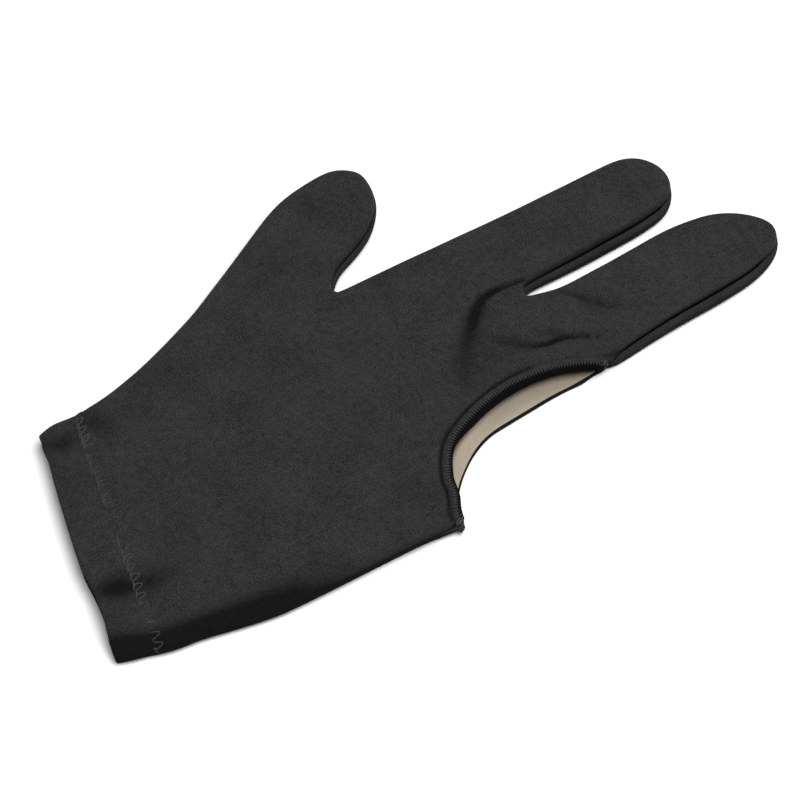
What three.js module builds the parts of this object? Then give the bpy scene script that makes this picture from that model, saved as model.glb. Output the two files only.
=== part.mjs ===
import * as THREE from 'three';

// Billiard glove lying flat. Millimetres. +X runs from the cuff to the fingertips, +Y is the thumb side,
// +Z is up. The tables are measured from the middle of the cuff; the finished group is shifted at the end
// so that its origin is the middle of its underside.

// Main sizes
const gloveLength = 225;
const palmWidth = 82;
const thumbLength = 52;
const thumbWidth = 27;
const indexLength = 56.5;
const indexWidth = 25;
const middleLength = 73.5;
const middleWidth = 27;
const bodyThickness = 9.0;
const fingerThickness = 8.2;
const seamHeight = 4.6;
const edgeRadius = 4.6;

// Cloth and its layers
const panelWall = 1.0;
const liningWall = 1.0;
const hemWall = 1.0;
const hemDepth = 12;
const clearance = 0.3;
const edgingRadius = 0.95;
const edgingLift = 0.02;
const nubSwell = 0.45;
const nubReach = 3;
const notchRadius = 1.5;

// Where each digit starts and which way it points: along is a share of gloveLength, across is a share of
// palmWidth, and heading is in degrees
const thumbPlace = { along: 0.358, across: 0.49, heading: 27 };
const indexPlace = { along: 0.667, across: 0.2146, heading: 0 };
const middlePlace = { along: 0.672, across: -0.1585, heading: 0 };

// Round bottoms of the notches between digits: facing is where the notch's bottom points and sweep is how
// far it turns, both in degrees
const thumbNotch = { along: 0.4538, across: 0.405, facing: 192, sweep: 150 };
const indexNotch = { along: 0.6742, across: 0.0463, facing: 180, sweep: 176 };

// Body edges: the sides are shares of palmWidth, and slant is how far the row leans towards the fingertips
// on the thumb side
const bodyRows = [
  { along: 0.0, slant: 0.165, thumbSide: 0.42, littleSide: 0.445 },
  { along: 0.018, slant: 0.14, thumbSide: 0.43, littleSide: 0.478 },
  { along: 0.044, slant: 0.1, thumbSide: 0.427, littleSide: 0.51 },
  { along: 0.089, slant: 0.05, thumbSide: 0.428, littleSide: 0.532 },
  { along: 0.16, slant: 0.0, thumbSide: 0.462, littleSide: 0.563 },
  { along: 0.222, slant: 0.0, thumbSide: 0.518, littleSide: 0.574 },
  { along: 0.271, slant: 0.0, thumbSide: 0.573, littleSide: 0.579 },
  { along: 0.356, slant: 0.0, thumbSide: null, littleSide: 0.586 },
  { along: 0.411, slant: 0.0, thumbSide: null, littleSide: 0.596 },
];
const webRow = { along: 0.555, across: 0.377 };

// Digit edges: along is a share of the digit's length, outer and inner are shares of its width on the
// thumb's side and on the other side of its middle line
const thumbRows = [
  { along: 0.0, outer: 0.555, inner: null },
  { along: 0.2, outer: 0.56, inner: null },
  { along: 0.4, outer: 0.56, inner: 0.487 },
  { along: 0.55, outer: 0.548, inner: 0.505 },
  { along: 0.7, outer: 0.478, inner: 0.503 },
  { along: 0.82, outer: 0.39, inner: 0.432 },
];
const thumbTipRows = [
  { along: 0.92, outer: 0.28, inner: 0.31 },
  { along: 0.98, outer: 0.12, inner: 0.14 },
];
const indexRows = [
  { along: 0.02, outer: 0.492, inner: null },
  { along: 0.18, outer: 0.481, inner: 0.492 },
  { along: 0.35, outer: 0.48, inner: 0.5 },
  { along: 0.53, outer: 0.476, inner: 0.493 },
  { along: 0.71, outer: 0.47, inner: 0.48 },
  { along: 0.82, outer: 0.45, inner: 0.45 },
];
const indexTipRows = [
  { along: 0.92, outer: 0.345, inner: 0.365 },
  { along: 0.982, outer: 0.16, inner: 0.18 },
];
const middleRows = [
  { along: 0.105, outer: 0.505, inner: 0.55 },
  { along: 0.25, outer: 0.506, inner: 0.517 },
  { along: 0.4, outer: 0.518, inner: 0.494 },
  { along: 0.53, outer: 0.531, inner: 0.481 },
  { along: 0.66, outer: 0.523, inner: 0.473 },
  { along: 0.8, outer: 0.456, inner: 0.439 },
];
const middleTipRows = [
  { along: 0.91, outer: 0.305, inner: 0.35 },
  { along: 0.98, outer: 0.1, inner: 0.2 },
];

// Free edge of each panel round the two bare fingers, from the little finger's side to the middle finger
const backOpeningRows = [
  { along: 0.436, across: -0.48 },
  { along: 0.4555, across: -0.35 },
  { along: 0.5, across: -0.277 },
  { along: 0.5725, across: -0.235 },
  { along: 0.649, across: -0.265 },
];
const palmOpeningRows = [
  { along: 0.4415, across: -0.46 },
  { along: 0.4685, across: -0.393 },
  { along: 0.511, across: -0.33 },
  { along: 0.575, across: -0.312 },
  { along: 0.65, across: -0.306 },
];

// Way in from the sewn edge where a free edge meets it, as a heading in degrees
const cuffHeading = 80.6;
const cornerHeading = 69;
const backCreaseHeading = 153;
const palmCreaseHeading = 165;

// Rounded side of each panel, from the sewn edge inwards: inset is a share of edgeRadius and rise is a share
// of the height between the seam and the panel's face
const backSideRows = [
  { inset: 0.19, rise: 0.02 },
  { inset: 0.07, rise: 0.2 },
  { inset: 0.1, rise: 0.5 },
  { inset: 0.32, rise: 0.8 },
  { inset: 0.64, rise: 0.955 },
  { inset: 1.0, rise: 1.0 },
];
const palmSideRows = [
  { inset: 0.16, rise: 0.02 },
  { inset: 0.0, rise: 0.16 },
  { inset: -0.02, rise: 0.45 },
  { inset: 0.16, rise: 0.78 },
  { inset: 0.5, rise: 0.965 },
  { inset: 1.0, rise: 1.0 },
];

// Creases in the back panel: their ends, then half-width and depth in millimetres; a ridge's depth is less
// than nothing
const foldRows = [
  { fromAlong: 0.665, fromAcross: 0.09, toAlong: 0.6, toAcross: 0.085, spread: 3.4, depth: 0.9 },
  { fromAlong: 0.6, fromAcross: 0.085, toAlong: 0.524, toAcross: -0.1, spread: 3.8, depth: 0.9 },
  { fromAlong: 0.712, fromAcross: -0.04, toAlong: 0.752, toAcross: -0.15, spread: 3.4, depth: 0.7 },
  { fromAlong: 0.6, fromAcross: -0.075, toAlong: 0.71, toAcross: -0.225, spread: 3.8, depth: 0.7 },
  { fromAlong: 0.64, fromAcross: 0.0, toAlong: 0.57, toAcross: -0.04, spread: 4.4, depth: -0.5 },
  { fromAlong: 0.44, fromAcross: 0.68, toAlong: 0.48, toAcross: 0.62, spread: 6.0, depth: 0.5 },
  { fromAlong: 0.1, fromAcross: 0.24, toAlong: 0.16, toAcross: 0.2, spread: 5.0, depth: 0.4 },
  { fromAlong: 0.11, fromAcross: -0.36, toAlong: 0.2, toAcross: -0.3, spread: 5.5, depth: 0.5 },
];

// Steps along each stretch of a panel
const backSteps = {
  hem: 3,
  little: 14,
  opening: 14,
  side: 9,
  root: 8,
  notch: 4,
  web: 9,
  thumb: 7,
  index: 8,
  indexTip: 6,
  middle: 9,
  middleTip: 6,
};
const palmSteps = {
  hem: 3,
  little: 9,
  opening: 9,
  side: 6,
  root: 6,
  notch: 2,
  web: 5,
  thumb: 5,
  index: 6,
  indexTip: 6,
  middle: 7,
  middleTip: 6,
};
const edgingSteps = 64;
const edgingSides = 8;

// Points of the plan
function planPoint(x, y) {
  return new THREE.Vector2(x, y);
}

function rowPoint(row) {
  return planPoint(row.along * gloveLength, row.across * palmWidth);
}

function headingVector(degrees) {
  const turn = THREE.MathUtils.degToRad(degrees);
  return planPoint(Math.cos(turn), Math.sin(turn));
}

function digitPoint(place, along, across) {
  const out = headingVector(place.heading).multiplyScalar(along);
  const side = headingVector(place.heading + 90).multiplyScalar(across);
  return rowPoint(place).add(out).add(side);
}

// Smooth line through a few points, cut at given shares of its length
function cutLine(points, shares) {
  const stops = points.map((p) => new THREE.Vector3(p.x, p.y, 0));
  const curve = new THREE.CatmullRomCurve3(stops, false, 'centripetal');
  curve.arcLengthDivisions = 400;
  return shares.map((share) => {
    const p = curve.getPointAt(Math.min(share, 1));
    return planPoint(p.x, p.y);
  });
}

function evenShares(steps) {
  return Array.from({ length: steps + 1 }, (_, i) => i / steps);
}

// Shares that put the first few steps over the hem's depth and spread the others evenly
function hemShares(points, hemSteps, steps) {
  let length = 0;
  for (let i = 1; i < points.length; i += 1) {
    length += points[i].distanceTo(points[i - 1]);
  }
  const depth = hemDepth / length;
  return Array.from({ length: steps + 1 }, (_, i) => {
    if (i <= hemSteps) {
      return (depth * i) / hemSteps;
    }
    return depth + ((1 - depth) * (i - hemSteps)) / (steps - hemSteps);
  });
}

// The three stretches of a digit: out on the thumb's side, round the tip, and back on the other side
function digitStretches(rows, tipRows, place, length, width) {
  const edge = (table, side) => {
    const sign = side === 'outer' ? 1 : -1;
    const used = table.filter((row) => row[side] !== null);
    return used.map((row) => digitPoint(place, row.along * length, sign * row[side] * width));
  };
  const out = edge(rows, 'outer');
  const back = edge(rows, 'inner').reverse();
  const end = digitPoint(place, length, 0);
  const tip = [out.at(-1), ...edge(tipRows, 'outer'), end, ...edge(tipRows, 'inner').reverse(), back[0]];
  return { out, tip, back };
}

function bodySide(side, sign) {
  const used = bodyRows.filter((row) => row[side] !== null);
  return used.map((row) => {
    const y = sign * row[side] * palmWidth;
    return planPoint(row.along * gloveLength + row.slant * y, y);
  });
}

function notchArc(notch, steps) {
  return evenShares(steps).map((share) => {
    const heading = notch.facing + notch.sweep * (share - 0.5);
    return rowPoint(notch).add(headingVector(heading).multiplyScalar(notchRadius));
  });
}

// Way in from each point of an edge: square to it, and turned to a set heading at both of its ends
function waysIn(points, squareTurn, firstHeading, lastHeading, lastSpread) {
  const last = points.length - 1;
  const turnTowards = (from, to, share) => {
    const gap = Math.atan2(Math.sin(to - from), Math.cos(to - from));
    return from + gap * share;
  };
  return points.map((p, i) => {
    const before = points[Math.max(0, i - 1)];
    const after = points[Math.min(last, i + 1)];
    const square = Math.atan2(after.y - before.y, after.x - before.x) + THREE.MathUtils.degToRad(squareTurn);
    const nearFirst = Math.max(0, 1 - i / 2);
    const nearLast = Math.max(0, 1 - (last - i) / lastSpread);
    const first = turnTowards(square, THREE.MathUtils.degToRad(firstHeading), nearFirst);
    const turned = turnTowards(first, THREE.MathUtils.degToRad(lastHeading), nearLast);
    return planPoint(Math.cos(turned), Math.sin(turned));
  });
}

// Sewn edge from the cuff round all three digits to the opening, with the place where each stretch starts
function longEdge(steps, creaseHeading) {
  const thumb = digitStretches(thumbRows, thumbTipRows, thumbPlace, thumbLength, thumbWidth);
  const index = digitStretches(indexRows, indexTipRows, indexPlace, indexLength, indexWidth);
  const middle = digitStretches(middleRows, middleTipRows, middlePlace, middleLength, middleWidth);
  const side = bodySide('thumbSide', 1);
  const thumbArc = notchArc(thumbNotch, steps.notch);
  const indexArc = notchArc(indexNotch, steps.notch);
  const stretches = {
    side: cutLine(side, hemShares(side, steps.hem, steps.side)),
    thumbOut: cutLine([side.at(-1), ...thumb.out], evenShares(steps.thumb + steps.notch / 2)),
    thumbTip: cutLine(thumb.tip, evenShares(steps.root)),
    thumbBack: cutLine([...thumb.back, thumbArc[0]], evenShares(steps.thumb)),
    thumbNotch: thumbArc,
    web: cutLine([thumbArc.at(-1), rowPoint(webRow), index.out[0]], evenShares(steps.web)),
    indexOut: cutLine(index.out, evenShares(steps.index)),
    indexTip: cutLine(index.tip, evenShares(steps.indexTip)),
    indexBack: cutLine([...index.back, indexArc[0]], evenShares(steps.index)),
    indexNotch: indexArc,
    middleOut: cutLine([indexArc.at(-1), ...middle.out], evenShares(steps.middle)),
    middleTip: cutLine(middle.tip, evenShares(steps.middleTip)),
    middleBack: cutLine(middle.back, evenShares(steps.middle)),
  };
  const points = [stretches.side[0]];
  const start = {};
  Object.entries(stretches).forEach(([name, list]) => {
    start[name] = points.length - 1;
    points.push(...list.slice(1));
  });
  start.end = points.length - 1;
  return { points, start, ways: waysIn(points, -90, cuffHeading + 180, creaseHeading, 3) };
}

function littleEdge(steps) {
  const side = bodySide('littleSide', -1);
  const points = cutLine(side, hemShares(side, steps.hem, steps.little));
  return { points, ways: waysIn(points, 90, cuffHeading, cornerHeading, 1) };
}

// Evenly filled patch between four edges; south and north run along, west and east run across
function fillPatch(south, north, west, east) {
  const shares = (line) => {
    const sums = [0];
    for (let i = 1; i < line.length; i += 1) {
      sums.push(sums[i - 1] + line[i].distanceTo(line[i - 1]));
    }
    return sums.map((sum) => sum / sums.at(-1));
  };
  const southShares = shares(south);
  const northShares = shares(north);
  const westShares = shares(west);
  const eastShares = shares(east);
  const mix = (a, b, share) => a.clone().lerp(b, share);
  return south.map((_, i) => west.map((__, j) => {
    const v = (westShares[j] * (south.length - 1 - i) + eastShares[j] * i) / (south.length - 1);
    const u = (southShares[i] * (west.length - 1 - j) + northShares[i] * j) / (west.length - 1);
    const along = mix(south[i], north[i], v);
    const across = mix(west[j], east[j], u);
    const low = mix(south[0], south.at(-1), u);
    const high = mix(north[0], north.at(-1), u);
    return along.add(across).sub(mix(low, high, v));
  }));
}

function straight(from, to, steps) {
  return evenShares(steps).map((share) => from.clone().lerp(to, share));
}

// Height of the back panel's face over the surface, folds included
function backHeight(p) {
  const towardsFingers = THREE.MathUtils.smoothstep(p.x, 0.62 * gloveLength, 0.8 * gloveLength);
  const towardsThumb = THREE.MathUtils.smoothstep(p.y, 0.5 * palmWidth, 0.7 * palmWidth);
  const thinner = Math.max(towardsFingers, towardsThumb);
  const dips = foldRows.map((row) => {
    const from = planPoint(row.fromAlong * gloveLength, row.fromAcross * palmWidth);
    const to = planPoint(row.toAlong * gloveLength, row.toAcross * palmWidth);
    const run = to.clone().sub(from);
    const share = THREE.MathUtils.clamp(p.clone().sub(from).dot(run) / run.lengthSq(), 0, 1);
    const away = p.distanceTo(from.add(run.multiplyScalar(share)));
    return row.depth * Math.exp(-((away / row.spread) ** 2));
  });
  const flatHeight = THREE.MathUtils.lerp(bodyThickness, fingerThickness, thinner);
  return flatHeight - Math.max(0, ...dips) - Math.min(0, ...dips);
}

// Outer face of a panel as points and four-cornered faces, sorted into the body and the three digits, with
// the grids that the other pieces need
function panelFace(isBack) {
  const steps = isBack ? backSteps : palmSteps;
  const sideRows = isBack ? backSideRows : palmSideRows;
  const openingRows = isBack ? backOpeningRows : palmOpeningRows;
  const seam = seamHeight + (isBack ? clearance / 2 : -clearance / 2);
  const faceHeight = (p) => (isBack ? backHeight(p) : 0);
  const points = [];
  const faces = { body: [], thumb: [], index: [], middle: [] };
  const known = new Map();
  const addPoint = (p, rise) => {
    const z = THREE.MathUtils.lerp(seam, faceHeight(p), rise);
    const key = [p.x, p.y, z].map((value) => Math.round(value * 1e4)).join(' ');
    if (!known.has(key)) {
      known.set(key, points.length);
      points.push(new THREE.Vector3(p.x, p.y, z));
    }
    return known.get(key);
  };
  const addFaces = (part, grid, leftHanded) => {
    for (let i = 0; i + 1 < grid.length; i += 1) {
      for (let j = 0; j + 1 < grid[i].length; j += 1) {
        const corners = [grid[i][j], grid[i + 1][j], grid[i + 1][j + 1], grid[i][j + 1]];
        faces[part].push(leftHanded === isBack ? corners.reverse() : corners);
      }
    }
  };
  const sideStrip = (edge) => edge.points.map((p, k) => sideRows.map((row) => {
    const place = p.clone().addScaledVector(edge.ways[k], row.inset * edgeRadius);
    return { place, rise: row.rise };
  }));
  const addGrid = (grid) => grid.map((line) => line.map((entry) => addPoint(entry.place, entry.rise)));
  const addPatch = (grid) => grid.map((line) => line.map((p) => addPoint(p, 1)));

  const long = longEdge(steps, isBack ? backCreaseHeading : palmCreaseHeading);
  const little = littleEdge(steps);
  const longPlaces = sideStrip(long);
  const littlePlaces = sideStrip(little);
  const longStrip = addGrid(longPlaces);
  const littleStrip = addGrid(littlePlaces);
  const halfNotch = steps.notch / 2;
  const thumbEnd = long.start.thumbNotch + halfNotch;
  addFaces('body', littleStrip, false);
  addFaces('body', longStrip.slice(0, long.start.thumbOut + 1), true);
  addFaces('thumb', longStrip.slice(long.start.thumbOut, thumbEnd + 1), true);
  addFaces('body', longStrip.slice(thumbEnd, long.start.indexOut + 1), true);
  addFaces('index', longStrip.slice(long.start.indexOut, long.start.indexNotch + 1), true);
  addFaces('body', longStrip.slice(long.start.indexNotch, long.start.middleOut + 1), true);
  addFaces('middle', longStrip.slice(long.start.middleOut), true);

  const innerLine = longPlaces.map((line) => line.at(-1).place);
  const littleLine = littlePlaces.map((line) => line.at(-1).place);
  const stretch = (name, count) => innerLine.slice(long.start[name], long.start[name] + count + 1);
  const corner = (name) => innerLine[long.start[name]];
  const thumbNotchHalves = [
    stretch('thumbNotch', halfNotch),
    stretch('thumbNotch', steps.notch).slice(halfNotch),
  ];

  const thumbRoot = straight(thumbNotchHalves[1][0], corner('thumbOut'), steps.root);
  const indexRoot = straight(corner('indexNotch'), corner('indexOut'), steps.indexTip);
  const middleRoot = straight(corner('end'), corner('middleOut'), steps.middleTip);
  const opening = cutLine(
    [littleLine.at(-1), ...openingRows.map(rowPoint), corner('end')],
    evenShares(steps.opening),
  );

  const south = [...littleLine, ...opening.slice(1)];
  const north = [
    ...stretch('side', steps.side),
    ...[...thumbRoot].reverse().slice(1),
    ...thumbNotchHalves[1].slice(1),
    ...stretch('web', steps.web).slice(1),
  ];
  const west = straight(south[0], north[0], steps.middleTip + steps.notch + steps.indexTip);
  const east = [
    ...middleRoot,
    ...stretch('indexNotch', steps.notch).reverse().slice(1),
    ...indexRoot.slice(1),
  ];
  const body = addPatch(fillPatch(south, north, west, east));
  addFaces('body', body, false);

  const digit = (name, root, outSide, backSide) => {
    const tip = stretch(`${name}Tip`, root.length - 1).reverse();
    addFaces(name, addPatch(fillPatch([...backSide].reverse(), outSide, root, tip)), false);
  };
  const thumbBack = [...stretch('thumbBack', steps.thumb), ...thumbNotchHalves[0].slice(1)];
  digit('thumb', thumbRoot, stretch('thumbOut', steps.thumb + halfNotch), thumbBack);
  digit('index', indexRoot, stretch('indexOut', steps.index), stretch('indexBack', steps.index));
  digit('middle', middleRoot, stretch('middleOut', steps.middle), stretch('middleBack', steps.middle));

  const normals = faceNormals(points, Object.values(faces).flat());
  [...longStrip, ...littleStrip].forEach((line) => {
    normals[line[0]].setZ(0).normalize();
  });
  return { points, normals, faces, longStrip, littleStrip, body, steps };
}

// One part of a panel. A digit starts a clearance beyond the line where it meets the body.
function panelPart(panel, part) {
  const faces = panel.faces[part];
  if (part === 'body') {
    return { ...panel, faces };
  }
  const bodyPoints = new Set(panel.faces.body.flat());
  const away = new Map();
  faces.forEach((corners) => corners.forEach((id, k) => {
    [corners[(k + 1) % 4], corners[(k + 3) % 4]].forEach((next) => {
      if (bodyPoints.has(id) && !bodyPoints.has(next)) {
        const step = panel.points[next].clone().sub(panel.points[id]).normalize();
        away.set(id, (away.get(id) || new THREE.Vector3()).add(step));
      }
    });
  }));
  const points = panel.points.map((p, id) => {
    const step = away.get(id);
    return step ? p.clone().addScaledVector(step.normalize(), clearance) : p;
  });
  return { points, normals: panel.normals, faces };
}

function faceNormals(points, faces) {
  const normals = points.map(() => new THREE.Vector3());
  faces.forEach((face) => {
    const [a, b, c, d] = face.map((id) => points[id]);
    const square = c.clone().sub(a).cross(d.clone().sub(b));
    face.forEach((id) => normals[id].add(square));
  });
  return normals.map((normal) => normal.normalize());
}

// Closed sheet between two depths below a face: both skins, and a rim wherever the face ends
function sheetMesh(name, face, outerDepth, innerDepth, material) {
  const used = [...new Set(face.faces.flat())];
  const place = new Map(used.map((id, i) => [id, i]));
  const positions = [];
  [outerDepth, innerDepth].forEach((depth) => {
    used.forEach((id) => {
      positions.push(...face.points[id].clone().addScaledVector(face.normals[id], -depth).toArray());
    });
  });
  const triangles = [];
  const addQuad = (a, b, c, d) => triangles.push(a, b, c, a, c, d);
  const edges = new Set();
  face.faces.forEach((corners) => {
    const [a, b, c, d] = corners.map((id) => place.get(id));
    addQuad(a, b, c, d);
    addQuad(d + used.length, c + used.length, b + used.length, a + used.length);
    [[a, b], [b, c], [c, d], [d, a]].forEach(([from, to]) => edges.add(`${from} ${to}`));
  });
  edges.forEach((edge) => {
    const [from, to] = edge.split(' ').map(Number);
    if (!edges.has(`${to} ${from}`)) {
      addQuad(to, from, from + used.length, to + used.length);
    }
  });
  return namedMesh(name, positions, triangles, material);
}

function namedMesh(name, positions, triangles, material) {
  const geometry = new THREE.BufferGeometry();
  geometry.setAttribute('position', new THREE.Float32BufferAttribute(positions, 3));
  geometry.setIndex(triangles);
  geometry.computeVertexNormals();
  const mesh = new THREE.Mesh(geometry, material);
  mesh.name = name;
  return mesh;
}

// The hem follows the inside of both panels, all the way round the cuff
function hemFace(back, palm) {
  const points = [];
  const normals = [];
  const rings = [];
  for (let i = 0; i <= back.steps.hem; i += 1) {
    const ring = [];
    const add = (panel, ids) => ids.forEach((id) => {
      ring.push(points.length);
      points.push(panel.points[id]);
      normals.push(panel.normals[id]);
    });
    add(palm, palm.littleStrip[i].slice(0, -1));
    add(palm, palm.body[i]);
    add(palm, [...palm.longStrip[i]].reverse().slice(1));
    add(back, back.longStrip[i].slice(0, -1));
    add(back, [...back.body[i]].reverse());
    add(back, [...back.littleStrip[i]].reverse().slice(1));
    rings.push(ring);
  }
  const faces = [];
  for (let i = 0; i + 1 < rings.length; i += 1) {
    rings[i].forEach((id, k) => {
      const next = (k + 1) % rings[i].length;
      faces.push([id, rings[i][next], rings[i + 1][next], rings[i + 1][k]]);
    });
  }
  return { points, normals, faces };
}

// The lining covers the palm panel's body from behind the hem to the roots of the digits
function liningFace(palm) {
  const grid = palm.body.slice(palm.steps.hem + 1);
  const faces = [];
  for (let i = 0; i + 1 < grid.length; i += 1) {
    for (let j = 0; j + 1 < grid[i].length; j += 1) {
      faces.push([grid[i][j], grid[i][j + 1], grid[i + 1][j + 1], grid[i + 1][j]]);
    }
  }
  return { points: palm.points, normals: palm.normals, faces };
}

// The edging is thickest at its nub, where the opening meets the little finger's side
function edgingThickness(back, p) {
  const nub = back.points[back.littleStrip.at(-1)[0]];
  return edgingRadius * (1 + nubSwell * Math.exp(-((p.distanceTo(nub) / nubReach) ** 2)));
}

// Middle line of the edging: a little beyond the free edges of both panels, all the way round the opening
function edgingLine(back, palm) {
  const beyond = (panel, edge, inside) => edge.map((id, k) => {
    const centre = (n) => panel.points[n].clone().addScaledVector(panel.normals[n], -panelWall / 2);
    const before = edge[Math.max(0, k - 1)];
    const after = edge[Math.min(edge.length - 1, k + 1)];
    const tangent = centre(after).sub(centre(before)).normalize();
    const out = centre(id).sub(centre(inside[k]));
    out.addScaledVector(tangent, -out.dot(tangent)).normalize();
    const thickness = edgingThickness(back, centre(id));
    const stop = centre(id).addScaledVector(out, thickness + clearance);
    return stop.setZ(Math.max(stop.z, thickness + edgingLift));
  });
  const freeEdge = (panel) => {
    const bodyEdge = panel.body.slice(panel.steps.little);
    const edge = [
      ...panel.littleStrip.at(-1).slice(0, -1),
      ...bodyEdge.map((line) => line[0]),
      ...[...panel.longStrip.at(-1)].reverse().slice(1),
    ];
    const inside = [
      ...panel.littleStrip.at(-2).slice(0, -1),
      ...bodyEdge.map((line) => line[1]),
      ...[...panel.longStrip.at(-2)].reverse().slice(1),
    ];
    return beyond(panel, edge, inside);
  };
  const loop = [...freeEdge(back), ...freeEdge(palm).reverse()];
  return new THREE.CatmullRomCurve3(loop, true, 'centripetal');
}

function edgingMesh(back, palm, material) {
  const curve = edgingLine(back, palm);
  curve.arcLengthDivisions = 800;
  const frames = curve.computeFrenetFrames(edgingSteps, true);
  const positions = [];
  const triangles = [];
  const sides = edgingSides;
  for (let i = 0; i < edgingSteps; i += 1) {
    const centre = curve.getPointAt(i / edgingSteps);
    const thickness = edgingThickness(back, centre);
    for (let k = 0; k < sides; k += 1) {
      const turn = (2 * Math.PI * k) / sides;
      const p = centre.clone();
      p.addScaledVector(frames.normals[i], thickness * Math.cos(turn));
      p.addScaledVector(frames.binormals[i], thickness * Math.sin(turn));
      positions.push(...p.toArray());
      const next = ((i + 1) % edgingSteps) * sides;
      const beside = (k + 1) % sides;
      triangles.push(i * sides + k, next + beside, next + k);
      triangles.push(i * sides + k, i * sides + beside, next + beside);
    }
  }
  return namedMesh('opening_edging', positions, triangles, material);
}

function clothMaterial(name, color, roughness) {
  return new THREE.MeshStandardMaterial({ name, color, roughness, metalness: 0 });
}

const back = panelFace(true);
const palm = panelFace(false);
const layerDepth = panelWall + clearance;

const group = new THREE.Group();
group.name = 'billiard_glove';
['body', 'thumb', 'index', 'middle'].forEach((part) => {
  group.add(sheetMesh(`back_${part}`, panelPart(back, part), 0, panelWall,
    clothMaterial('back_knit', 0x343436, 0.9)));
  group.add(sheetMesh(`palm_${part}`, panelPart(palm, part), 0, panelWall,
    clothMaterial('palm_knit', 0x2e2e30, 0.9)));
});
group.add(sheetMesh('palm_lining', liningFace(palm), layerDepth, layerDepth + liningWall,
  clothMaterial('lining', 0xc8b9a0, 0.85)));
group.add(sheetMesh('cuff_hem', hemFace(back, palm), layerDepth, layerDepth + hemWall,
  clothMaterial('hem_knit', 0x303032, 0.9)));
group.add(edgingMesh(back, palm, clothMaterial('edging', 0x28282a, 0.85)));

const box = new THREE.Box3().setFromObject(group);
const middleOfBase = box.getCenter(new THREE.Vector3()).setZ(box.min.z);
group.children.forEach((mesh) => mesh.geometry.translate(-middleOfBase.x, -middleOfBase.y, -middleOfBase.z));

export default group;
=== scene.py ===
"""A billiard glove for the thumb, index and middle finger, lying flat on its palm on a pale floor."""

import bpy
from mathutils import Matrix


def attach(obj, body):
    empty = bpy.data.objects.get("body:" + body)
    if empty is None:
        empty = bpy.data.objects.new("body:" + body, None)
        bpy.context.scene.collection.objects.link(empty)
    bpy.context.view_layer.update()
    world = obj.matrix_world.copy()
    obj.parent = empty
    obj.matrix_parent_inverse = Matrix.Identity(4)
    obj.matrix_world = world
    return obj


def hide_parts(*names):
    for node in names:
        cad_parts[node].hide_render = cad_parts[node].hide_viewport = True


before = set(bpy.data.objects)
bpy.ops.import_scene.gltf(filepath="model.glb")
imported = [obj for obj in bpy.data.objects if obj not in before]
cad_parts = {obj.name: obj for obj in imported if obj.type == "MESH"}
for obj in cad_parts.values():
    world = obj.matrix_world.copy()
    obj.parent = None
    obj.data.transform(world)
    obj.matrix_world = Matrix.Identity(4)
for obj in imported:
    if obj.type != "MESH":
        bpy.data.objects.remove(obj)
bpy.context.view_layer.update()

import math

import bmesh
import bpy
import numpy as np
from mathutils import Vector, noise
from mathutils.bvhtree import BVHTree

# Back of the glove
# The upper layer of thin charcoal stretch knit, cut in one piece with its thumb and two fingers. It is sewn
# to the palm along both sides, and the web beside the opening has drawn it into three soft creases.

MM = 0.001
HIGH_UP = 30 * MM
DOWN = Vector((0, 0, -1))
# Creases by the web beside the opening: rows of x, y, depth and half width, in mm.
WEB_CREASES = [
    [(41.0, -2.0, 0.8, 0.5), (39.2, -1.8, 1.1, 0.55), (36.6, -1.5, 1.4, 0.6), (33.4, -1.2, 1.6, 0.75),
     (30.0, -1.1, 1.6, 1.0), (27.0, -1.6, 1.4, 1.4), (24.1, -3.7, 1.3, 1.8), (21.0, -6.4, 1.1, 2.2),
     (18.0, -9.4, 0.9, 2.6), (14.0, -14.0, 0.6, 3.2), (9.0, -21.0, 0.3, 4.0)],
    [(47.8, -10.4, 0.3, 0.8), (50.5, -12.8, 0.6, 0.9), (53.0, -16.3, 0.8, 1.1), (56.2, -20.0, 0.7, 1.3),
     (59.6, -22.4, 0.4, 1.5), (62.5, -24.5, 0.15, 1.6)],
    [(21.8, -13.7, 0.2, 2.0), (25.6, -17.0, 0.45, 1.8), (29.0, -19.8, 0.6, 1.6), (32.5, -22.5, 0.8, 1.3),
     (35.8, -23.7, 1.3, 0.9), (38.5, -23.9, 1.5, 0.8), (41.9, -24.5, 1.4, 0.75), (45.6, -26.0, 1.1, 0.75),
     (49.1, -28.2, 0.7, 0.8), (51.1, -29.9, 0.2, 1.0)],
    [(35.6, -19.1, 0.3, 1.3), (38.5, -20.9, 0.5, 1.3), (41.3, -22.8, 0.4, 1.2)],
    [(48.5, -35.6, 0.5, 0.8), (52.5, -36.0, 0.7, 0.8), (58.5, -37.2, 0.4, 0.8)],
]
# Soft dents by the hem and by the thumb, with the same columns.
DENTS = [
    [(-105.5, 20.5, 0.4, 2.4), (-102.5, 18.8, 0.75, 2.8), (-99.5, 18.4, 0.8, 2.8), (-96.0, 19.0, 0.4, 2.6)],
    [(-92.5, 23.5, 0.3, 2.6), (-90.5, 20.5, 0.65, 3.0), (-88.0, 17.5, 0.5, 3.2), (-86.5, 14.0, 0.2, 3.4)],
    [(-113.0, -26.8, 0.5, 2.6), (-109.5, -27.6, 1.1, 3.2), (-106.0, -28.8, 1.25, 3.4),
     (-102.0, -30.3, 0.8, 3.2), (-97.5, -31.8, 0.75, 3.0), (-93.5, -31.5, 0.5, 3.2),
     (-90.0, -30.5, 0.2, 3.4)],
    [(-2.0, 50.0, 0.2, 2.6), (1.5, 44.0, 0.15, 2.8)],
]
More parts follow.
